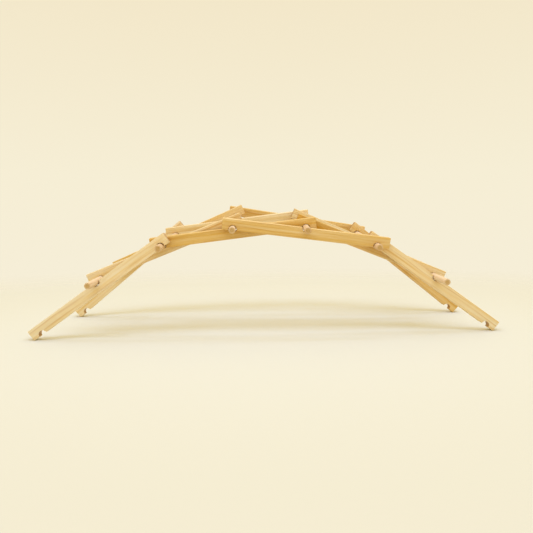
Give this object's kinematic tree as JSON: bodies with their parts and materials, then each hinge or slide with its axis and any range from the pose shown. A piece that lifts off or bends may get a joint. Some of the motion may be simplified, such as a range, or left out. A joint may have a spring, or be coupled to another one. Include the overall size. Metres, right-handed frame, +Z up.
{
  "type": "toy self-supporting arch bridge",
  "caption": "Toy arch bridge that stands by itself: notched wooden slats woven over and under round cross dowels, with no glue or fasteners.",
  "frame": {"origin": "on the floor, under the middle of the bridge's box", "axes": "+X along the span to the right foot, +Y from the front arch to the back arch, +Z up"},
  "size_m": [0.5772, 0.1824, 0.1608],
  "materials": {
    "slat_wood": "planed, unfinished",
    "dowel_wood": "sanded, unfinished"
  },
  "bodies": {
    "root": {"front_left_leg": "slat_wood", "front_lower_left_slat": "slat_wood", "front_upper_left_slat": "slat_wood", "front_upper_right_slat": "slat_wood", "front_lower_right_slat": "slat_wood", "front_right_leg": "slat_wood", "back_left_leg": "slat_wood", "back_lower_left_slat": "slat_wood", "back_upper_left_slat": "slat_wood", "back_upper_right_slat": "slat_wood", "back_lower_right_slat": "slat_wood", "back_right_leg": "slat_wood", "left_foot_dowel": "dowel_wood", "left_haunch_dowel": "dowel_wood", "left_crown_dowel": "dowel_wood", "right_crown_dowel": "dowel_wood", "right_haunch_dowel": "dowel_wood", "right_foot_dowel": "dowel_wood"}
  },
  "joints": []
}
